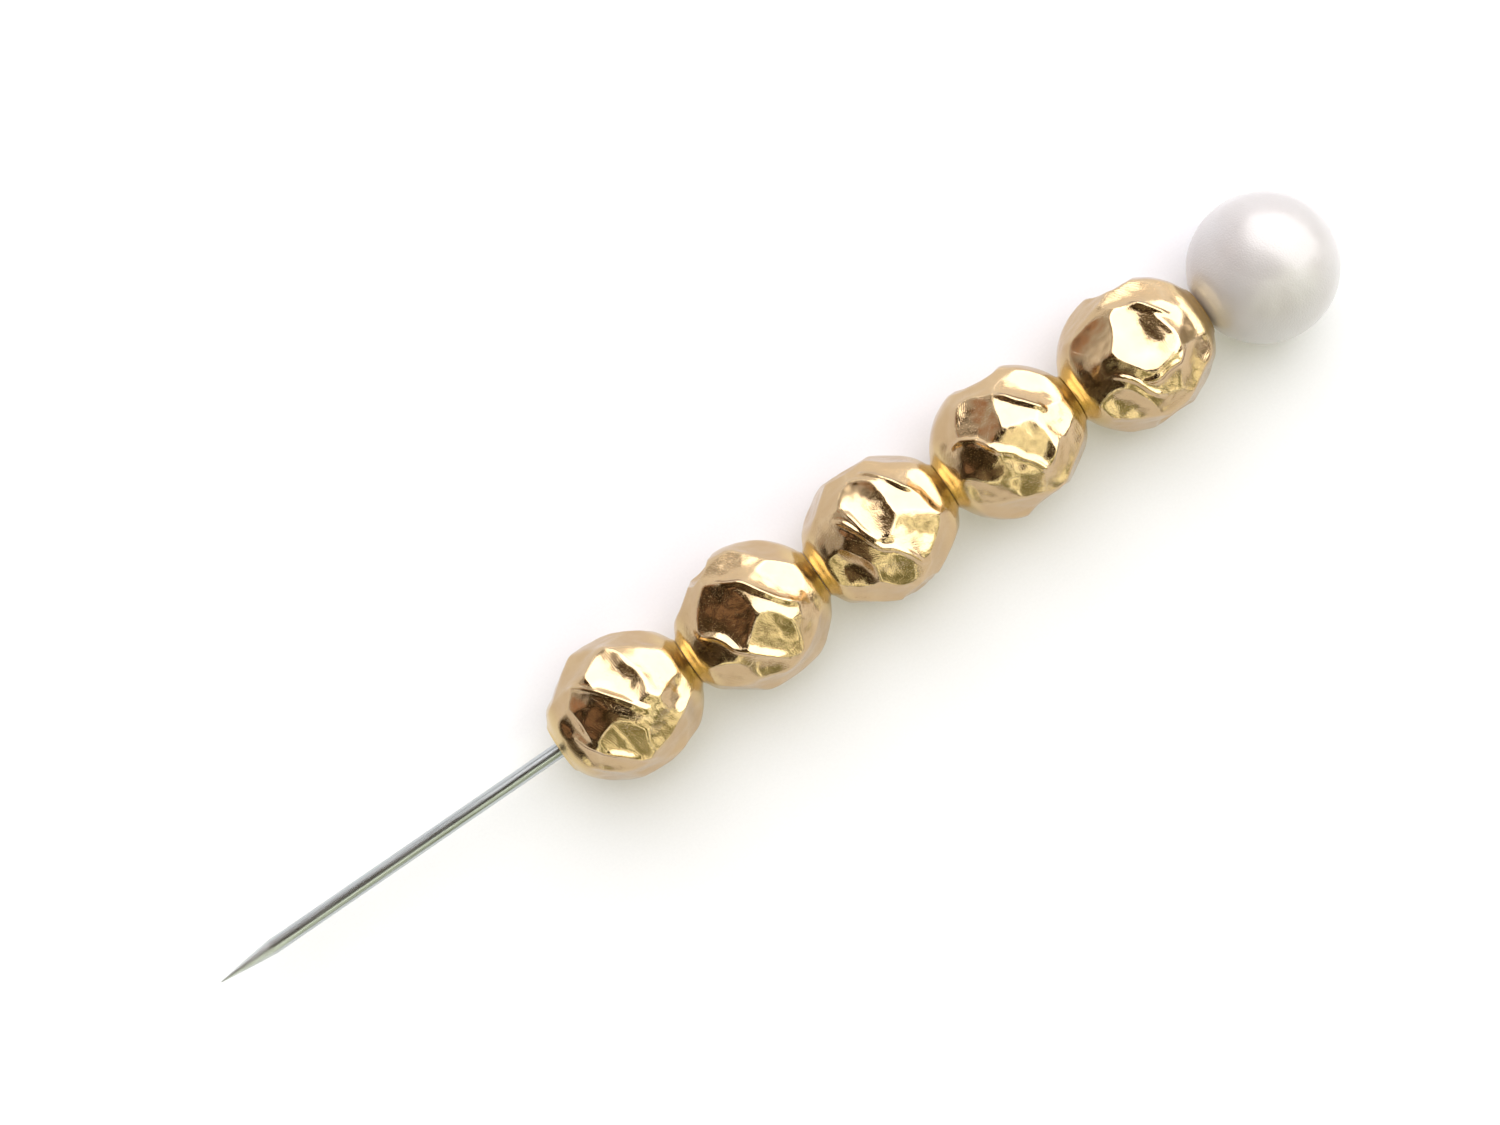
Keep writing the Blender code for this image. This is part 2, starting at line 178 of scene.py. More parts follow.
# The hollows of each bead, but for its underside: x along the shaft from the bead's middle,
# degrees around the shaft from the top towards +y, half length, half width, turn of the long side
# from +x in degrees, and how dished it is: 1 is flat across its width, and more is hollower.
UPPER_HOLLOWS = (
    (
        (-2.15, 12, 0.75, 0.50, 98, 3.5),
        (-1.85, 45, 0.70, 0.50, 20, 1.6),
        (-1.15, 14, 1.25, 0.60, -73, 1.8),
        (0.02, 5, 1.40, 0.42, -52, 2.6),
        (0.50, 24, 1.30, 0.85, -80, 2.5),
        (1.75, 22, 1.10, 0.60, -68, 1.4),
        (0.10, -13, 1.15, 0.34, -38, 1.6),
        (-0.55, -26, 1.00, 0.78, -75, 2.2),
        (0.85, -33, 0.70, 0.55, 0, 2.0),
        (-1.45, -44, 1.00, 0.45, -45, 2.0),
        (-2.25, -24, 0.80, 0.45, -55, 1.8),
        (2.10, -22, 0.70, 0.45, 20, 2.5),
        (-0.90, 62, 1.20, 0.75, 8, 1.3),
        (0.70, 76, 0.90, 0.60, -15, 1.5),
        (1.75, 62, 0.80, 0.60, -30, 1.4),
        (-1.90, 85, 0.90, 0.75, 30, 1.2),
        (-0.30, 104, 1.20, 0.70, 0, 1.3),
        (1.40, 104, 0.90, 0.70, -20, 1.3),
        (1.10, -62, 1.10, 0.70, 8, 1.5),
        (-0.50, -70, 1.00, 0.60, -10, 1.5),
        (-1.95, -72, 0.90, 0.70, -35, 1.3),
        (0.30, -98, 1.10, 0.70, 5, 1.3),
        (2.00, -66, 0.80, 0.60, 40, 1.4),
    ),
    (
        (-0.95, 15, 1.35, 1.15, 110, 1.45),
        (-1.80, -12, 1.35, 0.52, -60, 1.8),
        (-1.80, -40, 0.75, 0.60, 0, 1.5),
        (-0.60, -41, 0.85, 0.42, -30, 2.0),
        (0.40, -23, 1.15, 0.90, -80, 1.7),
        (1.50, -36, 0.70, 0.50, -70, 1.6),
        (0.75, 7, 1.35, 0.52, -48, 1.5),
        (1.70, 19, 1.25, 0.80, -55, 2.1),
        (0.60, 47, 1.15, 0.75, -20, 1.8),
        (-2.00, 48, 1.00, 0.60, 50, 1.4),
        (1.90, 60, 0.85, 0.60, -45, 1.4),
        (2.20, -25, 0.75, 0.45, 60, 1.6),
        (-0.80, 84, 0.65, 1.00, -10, 2.6),
        (-2.00, 92, 0.80, 0.80, 30, 1.2),
        (-1.00, -68, 0.90, 0.60, -10, 1.4),
        (0.60, -72, 1.00, 0.60, 5, 1.4),
        (1.80, -68, 0.90, 0.60, 30, 1.4),
        (-2.00, -84, 0.80, 0.70, -30, 1.2),
        (-0.20, -102, 1.00, 0.70, 0, 1.3),
    ),
    (
        (-0.08, 23, 1.45, 0.85, -82, 1.8),
        (-1.05, 13, 1.25, 0.40, -60, 2.0),
        (-1.95, 27, 0.80, 0.48, 75, 1.6),
        (-1.95, -19, 1.00, 0.72, -60, 3.2),
        (-0.70, -12, 1.15, 0.42, -42, 1.6),
        (-0.60, -33, 0.75, 0.48, -15, 2.0),
        (0.40, -32, 1.00, 0.30, -62, 1.5),
        (1.05, -19, 1.10, 0.92, -60, 1.5),
        (1.25, 18, 1.05, 0.55, -60, 1.5),
        (2.15, 20, 1.00, 0.45, -65, 2.6),
        (1.15, 53, 1.15, 0.70, -30, 1.6),
        (-1.20, 55, 1.10, 0.55, 25, 1.5),
        (0.10, 88, 1.10, 0.95, 0, 2.0),
        (-1.80, 80, 0.90, 0.70, 30, 1.3),
        (1.90, 78, 0.80, 0.70, -35, 1.3),
        (-1.60, -55, 1.00, 0.60, -35, 1.6),
        (0.05, -84, 0.75, 0.90, -10, 2.2),
        (1.60, -55, 1.00, 0.60, 35, 1.5),
        (1.40, -90, 1.00, 0.70, 10, 1.2),
        (-1.60, -92, 0.90, 0.70, -20, 1.2),
    ),
    (
        (-0.90, 29, 1.10, 0.92, 60, 1.45),
        (-1.55, -3, 1.40, 0.60, -50, 1.7),
        (0.30, -12, 1.25, 1.05, 80, 1.25),
        (0.45, 24, 1.25, 0.50, -52, 1.5),
        (1.65, 36, 1.30, 0.82, -40, 2.1),
        (1.75, -8, 0.90, 0.75, 85, 1.5),
        (-1.90, -35, 0.80, 0.55, -20, 1.5),
        (-0.45, -37, 1.00, 0.40, -28, 2.1),
        (1.35, -40, 1.15, 0.65, 20, 1.7),
        (-2.20, 42, 0.90, 0.50, 55, 1.5),
        (0.40, 58, 0.90, 0.50, -20, 1.5),
        (0.25, 88, 1.00, 1.00, 0, 2.4),
        (0.25, -86, 1.00, 1.00, 0, 2.2),
        (-1.30, -64, 1.00, 0.60, -20, 1.4),
        (1.80, -78, 0.80, 0.70, 30, 1.3),
    ),
    (
        (0.30, 13, 1.45, 1.15, 80, 2.3),
        (1.60, 22, 1.15, 0.85, -48, 1.5),
        (-1.25, 36, 0.95, 0.75, 5, 1.8),
        (-0.65, 50, 0.80, 0.32, -38, 2.0),
        (-2.10, 23, 0.70, 0.42, 60, 1.6),
        (1.15, 48, 1.25, 0.75, -20, 1.9),
        (2.15, 35, 0.85, 0.40, -62, 2.0),
        (2.10, -8, 0.95, 0.55, 85, 1.6),
        (1.50, -36, 1.05, 0.65, 25, 2.0),
        (0.30, -36, 0.80, 0.55, 0, 1.8),
        (-0.85, -27, 1.35, 0.36, -55, 1.6),
        (-1.70, -37, 1.05, 0.65, -55, 2.3),
        (-2.00, -9, 0.80, 0.50, -65, 1.5),
        (0.60, 90, 0.85, 1.00, 0, 2.6),
        (-0.90, 72, 0.70, 0.50, 0, 1.3),
        (0.00, -86, 0.80, 1.00, 0, 2.8),
        (-1.40, -75, 0.80, 0.60, -20, 1.3),
        (1.35, -75, 0.80, 0.60, 15, 1.3),
    ),
)

# The crests raised between some hollows of each bead: points of x and degrees around the shaft
CRESTS = (
    (
        ((-1.60, 48), (-0.50, 23), (0.10, 8), (0.55, -4), (1.05, -16)),
        ((-2.40, 8), (-1.60, -25), (-1.10, -33), (-0.50, -46)),
    ),
    (
        ((-2.10, 17), (-1.25, -13), (-0.75, -22), (-0.15, -34), (0.40, -47)),
        ((-0.60, 46), (0.40, 28), (1.00, 12), (1.90, -14)),
    ),
    (
        ((-1.50, 34), (-1.00, 12), (-0.40, -12), (0.00, -19), (0.85, -50)),
        ((-1.00, 35), (-0.70, 10), (-0.30, -8)),
        ((0.50, 60), (1.30, 35), (2.00, 10)),
    ),
    (
        ((-2.30, 34), (-1.40, 20), (-0.80, 0), (-0.25, -10), (0.20, -27), (0.62, -45)),
        ((0.40, 43), (1.00, 26), (1.90, 5)),
        ((0.60, -40), (1.10, -31), (1.65, -24)),
    ),
    (
        ((-1.75, -3), (-0.90, -20), (-0.20, -46)),
        ((-0.80, -20), (0.00, -24), (0.90, -24), (1.50, -18)),
        ((0.60, 44), (1.30, 28), (1.90, 14)),
    ),
)


# ---------------------------------------------------------------- node helpers


class Nodes:
    """A small helper that adds nodes to one material or world and links them."""

    def __init__(self, owner):
        owner.use_nodes = True
        self.tree = owner.node_tree
        self.tree.nodes.clear()

    def add(self, kind, settings=None, **inputs):
        """A node of that kind, with its settings, and its inputs by name with _ for a space."""
        node = self.tree.nodes.new(kind)
        for key, value in (settings or {}).items():
            setattr(node, key, value)
        for key, value in inputs.items():
            self.feed(node, key.replace("_", " "), value)
        return node

    def feed(self, node, name, value):
        """Links a socket, or sets a value, on an input given by its name or its number."""
        socket = node.inputs[int(name)] if name.isdigit() else node.inputs[name]
        if isinstance(value, bpy.types.NodeSocket):
            self.tree.links.new(value, socket)
        else:
            socket.default_value = value

    def place(self):
        """The shaded point's place in the object's own axes, in metres."""
        return self.add("ShaderNodeTexCoord").outputs["Object"]

    def stored(self, name):
        """A value that the mesh stores at its points."""
        return self.add("ShaderNodeAttribute", {"attribute_name": name}).outputs["Fac"]

    def math(self, operation, *values):
        """A Math node's result."""
        node = self.add("ShaderNodeMath", {"operation": operation})
        for number, value in enumerate(values):
            self.feed(node, str(number), value)
        return node.outputs[0]

    def ramp(self, factor, stops, colors):
        """A colour ramp's colour, with one colour for each stop."""
        node = self.add("ShaderNodeValToRGB", Fac=factor)
        elements = node.color_ramp.elements
        while len(elements) < len(stops):
            elements.new(1.0)
        for element, stop, color in zip(elements, stops, colors):
            element.position = stop
            element.color = (*color, 1.0)
        return node.outputs["Color"]

    def spread(self, value, low, high, to_low=0.0, to_high=1.0):
        """A value mapped from one range to another, and held inside it."""
        node = self.add("ShaderNodeMapRange", {"clamp": True})
        for number, setting in enumerate((value, low, high, to_low, to_high)):
            self.feed(node, str(number), setting)
        return node.outputs[0]

    def noise(self, vector, scale, detail=2.0, roughness=0.5, distortion=0.0):
        """A noise texture's value."""
        node = self.add(
            "ShaderNodeTexNoise",
            Vector=vector,
            Scale=scale,
            Detail=detail,
            Roughness=roughness,
            Distortion=distortion,
        )
        return node.outputs[0]

    def stretched(self, vector, x, y, z):
        """The vector scaled along each axis."""
        node = self.add("ShaderNodeMapping", Vector=vector, Scale=(x, y, z))
        return node.outputs[0]

    def mix(self, factor, low, high):
        """A blend of two colours, each a socket or a plain colour."""
        node = self.add("ShaderNodeMix", {"data_type": "RGBA"})
        self.feed(node, "0", factor)
        for name, color in (("6", low), ("7", high)):
            self.feed(node, name, (*color, 1.0) if isinstance(color, tuple) else color)
        return node.outputs[2]

    def bump(self, height, distance, normal=None):
        """A bumped normal; distance is in metres."""
        node = self.add("ShaderNodeBump", Height=height, Distance=distance, Strength=1.0)
        if normal is not None:
            self.feed(node, "Normal", normal)
        return node.outputs[0]


def new_material(name):
    """An empty node material, its helper and its Principled shader."""
    material = bpy.data.materials.new(name)
    nodes = Nodes(material)
    shader = nodes.add("ShaderNodeBsdfPrincipled")
    output = nodes.add("ShaderNodeOutputMaterial")
    nodes.tree.links.new(shader.outputs[0], output.inputs[0])
    return material, nodes, shader


# ---------------------------------------------------------------- materials


def gold_material():
    """Pale gold plate: sharp reflections, file marks in the hollows, ridges worn paler with a painted
    highlight, turned collars.
    """
    material, nodes, shader = new_material("gold_plate")
    place = nodes.place()
    ridge, across, collar = nodes.stored("ridge"), nodes.stored("across"), nodes.stored("collar")

    cloudy = nodes.noise(place, 900.0, detail=3.0)
    tint = nodes.ramp(cloudy, (0.30, 0.52, 0.75), GOLD)
    # Ridges are mixed towards paler gold: partly wear, partly a painted highlight
    worn_and_highlit = nodes.mix(nodes.math("MULTIPLY", ridge, 0.35), tint, WORN_AND_HIGHLIT_GOLD)
    nodes.feed(shader, "Base Color", nodes.mix(collar, worn_and_highlit, COLLAR_GOLD))
    shader.inputs["Metallic"].default_value = 1.0

    patches = nodes.noise(place, 1500.0, detail=4.0, roughness=0.65)
    rough = nodes.spread(patches, 0.35, 0.70, to_low=0.075, to_high=0.17)
    nodes.feed(shader, "Roughness", nodes.math("ADD", rough, nodes.math("MULTIPLY", collar, 0.10)))

    # File marks run along each hollow, a little unevenly and only in some places
    wander = nodes.math("MULTIPLY", nodes.noise(place, 1200.0, detail=2.0), 9.0)
    marks = nodes.math("SINE", nodes.math("ADD", nodes.math("MULTIPLY", across, 75.0), wander))
    marked = nodes.spread(nodes.noise(place, 700.0, detail=1.0), 0.45, 0.60)
    filed = nodes.bump(nodes.math("MULTIPLY", marks, marked), distance=8e-7)

    # Turning rings run round the collars
    rings = nodes.noise(nodes.stretched(place, 22000.0, 500.0, 500.0), 1.0, detail=2.0)
    ringed = nodes.bump(nodes.math("MULTIPLY", rings, collar), distance=1.5e-6, normal=filed)

    grain = nodes.noise(place, 16000.0, detail=2.0, roughness=0.6)
    grained = nodes.bump(grain, distance=5e-6, normal=ringed)
    specks = nodes.noise(place, 24000.0, detail=1.0)
    pitted = nodes.bump(nodes.spread(specks, 0.62, 0.74), distance=2.5e-6, normal=grained)
    nodes.feed(shader, "Normal", pitted)
    return material


def pearl_material():
    """Pearl lacquer: a warm satin body under a clear coat, with fine mica grain."""
    material, nodes, shader = new_material("pearl_lacquer")
    place = nodes.place()
    drift = nodes.noise(place, 260.0, detail=2.0)
    flake = nodes.noise(place, 15000.0, detail=1.0, roughness=0.4)
    body = nodes.ramp(drift, (0.30, 0.55, 0.75), PEARL)
    mica = nodes.spread(flake, 0.55, 0.75, to_high=0.35)
    nodes.feed(shader, "Base Color", nodes.mix(mica, body, MICA))
    nodes.feed(shader, "Roughness", nodes.spread(drift, 0.3, 0.7, to_low=0.30, to_high=0.38))
    shader.inputs["IOR"].default_value = 1.6
    shader.inputs["Coat Weight"].default_value = 0.8
    shader.inputs["Coat IOR"].default_value = 1.65
    shader.inputs["Coat Roughness"].default_value = 0.26
    flaked = nodes.bump(flake, distance=1.4e-5)
    ripple = nodes.noise(place, 2600.0, detail=2.0)
    nodes.feed(shader, "Normal", nodes.bump(ripple, distance=4e-6, normal=flaked))
    return material


def steel_material():
    """Drawn steel wire, with a finely ground point."""
    material, nodes, shader = new_material("drawn_steel")
    place = nodes.place()
    ground = nodes.stored("ground")
    drawn = nodes.noise(nodes.stretched(place, 260.0, 14000.0, 14000.0), 1.0, detail=3.0)
    stone = nodes.noise(nodes.stretched(place, 5200.0, 16000.0, 16000.0), 1.0, detail=3.0)
    tint = nodes.ramp(drawn, (0.3, 0.7), STEEL)
    dull = nodes.mix(nodes.math("MULTIPLY", ground, 0.6), tint, GROUND_STEEL)
    nodes.feed(shader, "Base Color", dull)
    shader.inputs["Metallic"].default_value = 1.0
    smooth = nodes.spread(drawn, 0.3, 0.7, to_low=0.24, to_high=0.34)
    rough = nodes.math("ADD", smooth, nodes.math("MULTIPLY", ground, 0.16))
    nodes.feed(shader, "Roughness", rough)
    lined = nodes.bump(drawn, distance=2.5e-6)
    scratches = nodes.math("MULTIPLY", stone, ground)
    nodes.feed(shader, "Normal", nodes.bump(scratches, distance=1.4e-5, normal=lined))
    return material


def glue_material():
    """Clear jeweller's adhesive, slightly yellow and uneven."""
    material, nodes, shader = new_material("clear_adhesive")
    cloud = nodes.noise(nodes.place(), 2500.0, detail=2.0)
    nodes.feed(shader, "Base Color", nodes.ramp(cloud, (0.3, 0.7), GLUE))
    nodes.feed(shader, "Roughness", nodes.spread(cloud, 0.3, 0.7, to_low=0.25, to_high=0.45))
    nodes.feed(shader, "Normal", nodes.bump(cloud, distance=4e-6))
    return material


def floor_material():
    """Plain pale studio board."""
    material, nodes, shader = new_material("studio_board")
    tooth = nodes.noise(nodes.place(), 9000.0, detail=2.0)
    nodes.feed(shader, "Base Color", nodes.ramp(tooth, (0.3, 0.7), BOARD))
    shader.inputs["Roughness"].default_value = 0.7
    nodes.feed(shader, "Normal", nodes.bump(tooth, distance=2e-6))
    return material


# ---------------------------------------------------------------- shapes


def turned(outline, steps, ring):
    """(points, faces) of an outline of (x, radius) turned about the X axis.

    A ring's outline is a closed loop off the axis; any other runs from the axis to the axis.
    Rows follow the outline, and its first and last points are single where they lie on the axis.
    """
    body = outline if ring else outline[1:-1]
    angles = np.linspace(0.0, 2 * math.pi, steps, endpoint=False)
    sines, cosines = np.sin(angles), np.cos(angles)
    rows = [np.column_stack([np.full(steps, x), r * sines, r * cosines]) for x, r in body]
    points = np.concatenate(rows)
    count = len(body)
    faces = []
    for row in range(count if ring else count - 1):
        near, far = row * steps, ((row + 1) % count) * steps
        for step in range(steps):
            after = (step + 1) % steps
            faces.append((near + step, near + after, far + after, far + step))
    if not ring:
        first, last = len(points), len(points) + 1
        ends = [(outline[0][0], 0.0, 0.0), (outline[-1][0], 0.0, 0.0)]
        points = np.concatenate([points, np.array(ends)])
        bottom = (count - 1) * steps
        for step in range(steps):
            after = (step + 1) % steps
            faces.append((first, after, step))
            faces.append((last, bottom + step, bottom + after))
    return points, faces


def add_piece(name, points, faces, origin, material, stored=None):
    """A smooth mesh object from points in millimetres around its origin, which is in metres."""
    mesh = bpy.data.meshes.new(name)
    mesh.from_pydata([tuple(p) for p in points * MM], [], faces)
    mesh.update()
    for key, values in (stored or {}).items():
        layer = mesh.attributes.new(key, "FLOAT", "POINT")
        layer.data.foreach_set("value", values.astype(np.float32))
    mesh.shade_smooth()
    mesh.set_sharp_from_angle(angle=math.radians(SHARP_EDGE))
    mesh.materials.append(material)
    obj = bpy.data.objects.new(name, mesh)
    obj.location = origin
    bpy.context.scene.collection.objects.link(obj)
    return obj


def barrel_radius(x):
    """The bead's radius at x from its middle, before its hollows."""
    inside = 1 - np.abs(x / BARREL_HALF_LENGTH) ** BARREL_POWER
    barrel = BEAD_RADIUS * np.maximum(inside, 0.0) ** (1 / BARREL_POWER)
    return COLLAR_FILLET * np.logaddexp(barrel / COLLAR_FILLET, COLLAR_RADIUS / COLLAR_FILLET)


def outward(points):
    """The bead's outward normals at points on it, before its hollows."""
    x = points[:, 0]
    step = 0.001
    slope = (barrel_radius(x + step) - barrel_radius(x - step)) / (2 * step)
    radius = np.hypot(points[:, 1], points[:, 2])
    normals = np.column_stack([-slope, points[:, 1] / radius, points[:, 2] / radius])
    return normals / np.linalg.norm(normals, axis=1, keepdims=True)


class Hollow:
    """One shallow dish, cut into the barrel around a point of it."""

    def __init__(self, x, around, half_length, half_width, turn, dish):
        radius, roll = float(barrel_radius(x)), math.radians(around)
        self.middle = np.array([x, radius * math.sin(roll), radius * math.cos(roll)])
        self.normal = outward(self.middle[None, :])[0]
        level = np.array([1.0, 0.0, 0.0]) - self.normal * self.normal[0]
        level /= np.linalg.norm(level)
        upright = np.cross(self.normal, level)
        angle = math.radians(turn)
        self.long_side = level * math.cos(angle) + upright * math.sin(angle)
        self.short_side = np.cross(self.normal, self.long_side)
        flat = 0.5 / BEAD_RADIUS
        relief = dish * flat * half_width**2
        self.depth = RIDGE_DEPTH + relief
        self.long_bend = relief / half_length**2 - flat
        self.short_bend = relief / half_width**2 - flat

    def cut(self, points, normals):
        """How far below the surface the dish lies at each point, and the way along its width."""
        offset = points - self.middle
        facing = normals @ self.normal
        along, across = offset @ self.long_side, offset @ self.short_side
        floor = self.long_bend * along**2 + self.short_bend * across**2 - self.depth
        cut = (offset @ self.normal - floor) / np.maximum(facing, LEAST_FACING)
        return np.where(facing < LEAST_FACING, -1.0, cut), across


def hollows_of(bead):
    """A bead's own hollows above, and those of the bead after next, turned over, below."""
    own = [Hollow(*sizes) for sizes in UPPER_HOLLOWS[bead]]
    others = UPPER_HOLLOWS[(bead + 2) % BEAD_COUNT]
    below = [sizes for sizes in others if abs(sizes[1]) < UNDERSIDE]
    return own + [Hollow(x, around + 180, *rest) for x, around, *rest in below]


def bead_outline(rows):
    """The closed loop that the bead is turned from, with its rows evenly spread along the curve."""
    half, lip = BEAD_LENGTH / 2, COLLAR_LIP
    fine = np.linspace(half - lip, lip - half, OUTLINE_SAMPLES)
    radii = barrel_radius(fine)
    run = np.concatenate([[0.0], np.cumsum(np.hypot(np.diff(fine), np.diff(radii)))])
    even = np.interp(np.linspace(0.0, run[-1], rows + 1), run, fine)
    end = [(half, BORE_RADIUS), (half, COLLAR_MIDDLE), (half, COLLAR_RADIUS - lip)]
    end.append((half - LIP_BULGE, COLLAR_RADIUS - LIP_BULGE))
    other = [(-x, radius) for x, radius in reversed(end)]
    bore = [(x, BORE_RADIUS) for x in (-half / 2, 0.0, half / 2)]
    return end + [(x, float(barrel_radius(x))) for x in even] + other + bore


def smoothed(field, rows, steps, first_row):
    """A field on the outer rows of a turned grid, averaged lightly with its neighbours."""
    grid = field.reshape(-1, steps).copy()
    outer = grid[first_row : first_row + rows + 1]
    outer = (np.roll(outer, 1, axis=1) + 2 * outer + np.roll(outer, -1, axis=1)) / 4
    padded = np.pad(outer, ((1, 1), (0, 0)), mode="edge")
    grid[first_row : first_row + rows + 1] = (padded[:-2] + 2 * padded[1:-1] + padded[2:]) / 4
    return grid.ravel()


def wandered(points, normals, bead):
    """Points moved a little along the surface, so that no hollow has a regular outline."""
    places = [Vector((9.0 * bead, 20.0 * way, 3.5)) for way in range(3)]
    spots = [Vector(point) / WANDER_SIZE for point in points]
    shifts = np.array([[noise.noise(spot + place) for place in places] for spot in spots])
    shifts -= normals * (shifts * normals).sum(axis=1, keepdims=True)
    return points + WANDER * shifts


def waves(points, bead):
    """The gentle unevenness of a hammered surface, as a depth at each point."""
    depth = np.zeros(len(points))
    for size, height in WAVES:
        place = Vector((0.0, 9.0 * bead, 5.0))
        depth += height * np.array([noise.noise(Vector(point) / size + place) for point in points])
    return depth


def crest(points, route):
    """1 along a crest of the bead, fading to nothing beside it."""
    around_shaft = BEAD_RADIUS * np.arctan2(points[:, 1], points[:, 2])
    unrolled = np.column_stack([points[:, 0], around_shaft])
    route = np.array([(x, BEAD_RADIUS * math.radians(around)) for x, around in route])
    nearest = np.full(len(points), np.inf)
    for start, end in zip(route[:-1], route[1:]):
        run = end - start
        share = np.clip((unrolled - start) @ run / (run @ run), 0.0, 1.0)
        away = np.hypot(*(unrolled - start - share[:, None] * run).T)
        nearest = np.minimum(nearest, away)
    ends = np.minimum(np.hypot(*(unrolled - route[0]).T), np.hypot(*(unrolled - route[-1]).T))
    return np.exp(-((nearest / CREST_WIDTH) ** 2)) * np.clip(ends / CREST_TAPER, 0.0, 1.0)


def carve(points, bead):
    """The bead's points moved down into its hollows, and what the mesh stores for the gold."""
    normals = outward(points)
    outside = np.hypot(points[:, 1], points[:, 2]) > COLLAR_MIDDLE + 0.01
    fade = (HOLLOWS_END - np.abs(points[:, 0])) / (HOLLOWS_END - HOLLOWS_FADE_FROM)
    fade = np.clip(fade, 0.0, 1.0) * outside
    fade = fade * fade * (3 - 2 * fade)
    moved = wandered(points, normals, bead)
    cuts, ways = zip(*(hollow.cut(moved, normals) for hollow in hollows_of(bead)))
    cuts = np.array([np.zeros(len(points)), *cuts])
    ways = np.array([points[:, 0], *ways])
    depth = RIDGE_SOFTNESS * np.log(np.exp(cuts / RIDGE_SOFTNESS).sum(axis=0))
    crests = sum(crest(moved, route) for route in CRESTS[bead])
    depth = (depth + waves(points, bead) - CREST_HEIGHT * crests) * fade
    depth = smoothed(depth, BEAD_ROWS, BEAD_STEPS, BEAD_FIRST_ROW)
    deepest = cuts.argmax(axis=0)
    across = np.take_along_axis(ways, deepest[None, :], axis=0)[0] + deepest * MARKS_SHIFT
    top = np.sort(cuts, axis=0)
    ridge = np.exp(-(top[-1] - top[-2]) / RIDGE_WIDTH) * fade
    collar = (1 - fade) * outside
    return points - normals * depth[:, None], {"ridge": ridge, "across": across, "collar": collar}


def pearl_outline(rows):
    """The ball with its blind bore, from the bore's floor round to the far pole; x = 0 is bored."""
    start = math.asin((BORE_RADIUS + MOUTH_CHAMFER) / PEARL_RADIUS)
    rim = PEARL_RADIUS * (1 - math.cos(start))
    outline = [(PEARL_BORE_DEPTH, 0.0), (PEARL_BORE_DEPTH, BORE_RADIUS)]
    outline.append((rim + MOUTH_CHAMFER, BORE_RADIUS))
    for row in range(rows):
        angle = start + (math.pi - start) * row / rows
        outline.append((PEARL_RADIUS * (1 - math.cos(angle)), PEARL_RADIUS * math.sin(angle)))
    outline.append((2 * PEARL_RADIUS, 0.0))
    return outline


def wire_outline(length):
    """The wire from its ground point at x = 0 to its cut end."""
    outline = [(0.0, 0.0)]
    for row in range(POINT_ROWS + 1):
        share = row / POINT_ROWS
        grown = 1 - (1 - share) ** POINT_FULLNESS
        radius = TIP_RADIUS + (WIRE_RADIUS - TIP_RADIUS) * grown
        outline.append((TIP_RADIUS + share * POINT_LENGTH, radius))
    straight = length - POINT_LENGTH - WIRE_END_CHAMFER
    for row in range(1, WIRE_ROWS + 1):
        outline.append((POINT_LENGTH + straight * row / WIRE_ROWS, WIRE_RADIUS))
    outline += [(length, WIRE_RADIUS - WIRE_END_CHAMFER), (length, 0.0)]
    return outline


# ---------------------------------------------------------------- pieces


def axis_height():
    """The shaft's height above the floor, in metres."""
    low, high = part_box("pin_shaft")
    return (low[2] + high[2]) / 2


def make_beads(material):
    """The five gold beads, each over its CAD solid."""
    outline = bead_outline(BEAD_ROWS)
    for bead in range(BEAD_COUNT):
        node = f"nugget_bead_{bead + 1}"
        low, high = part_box(node)
        points, faces = turned(outline, BEAD_STEPS, ring=True)
        carved, stored = carve(points, bead)
        middle = ((low[0] + high[0]) / 2, 0.0, axis_height())
        piece = add_piece(f"gold_bead_{bead + 1}", carved, faces, middle, material, stored)
        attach(piece, "pin" if bead == 0 else f"bead_{bead + 1}")
        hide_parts(node)


def make_pearl(material):
    """The pearl head."""
    _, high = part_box("pearl_head")
    bored_side = (high[0] - 2 * PEARL_RADIUS * MM, 0.0, axis_height())
    points, faces = turned(pearl_outline(PEARL_ROWS), PEARL_STEPS, ring=False)
    piece = add_piece("pearl_ball", points, faces, bored_side, material)
    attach(piece, "pin")
    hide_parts("pearl_head")


def make_wire(material):
    """The steel shaft."""
    low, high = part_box("pin_shaft")
    length = (high[0] - low[0]) / MM
    points, faces = turned(wire_outline(length), WIRE_STEPS, ring=False)
    ground = (POINT_LENGTH + GROUND_PAST_POINT - points[:, 0]) / GROUND_FADE
    tip = (low[0], 0.0, axis_height())
    stored = {"ground": np.clip(ground, 0.0, 1.0)}
    piece = add_piece("steel_wire", points, faces, tip, material, stored)
    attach(piece, "pin")
    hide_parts("pin_shaft")


def dress_glue(material):
    """The films of glue keep their CAD shape."""
    for node in ("pearl_adhesive", "stop_bead_adhesive"):
        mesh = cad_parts[node].data
        mesh.materials.clear()
        mesh.materials.append(material)


# ---------------------------------------------------------------- studio


def picture_direction(right, up):
    """The world direction of a way across the picture."""
    cos, sin = math.cos(PICTURE_TURN), math.sin(PICTURE_TURN)
    return np.array([right * cos + up * sin, up * cos - right * sin, 0.0])


def make_floor(material):
    """A plain pale board under the pin."""
    mesh = bpy.data.meshes.new("studio_floor")
    half = FLOOR_SIZE / 2
    corners = [(-half, -half, 0), (half, -half, 0), (half, half, 0), (-half, half, 0)]
    mesh.from_pydata(corners, [], [(0, 1, 2, 3)])
    mesh.materials.append(material)
    floor = bpy.data.objects.new("studio_floor", mesh)
    bpy.context.scene.collection.objects.link(floor)


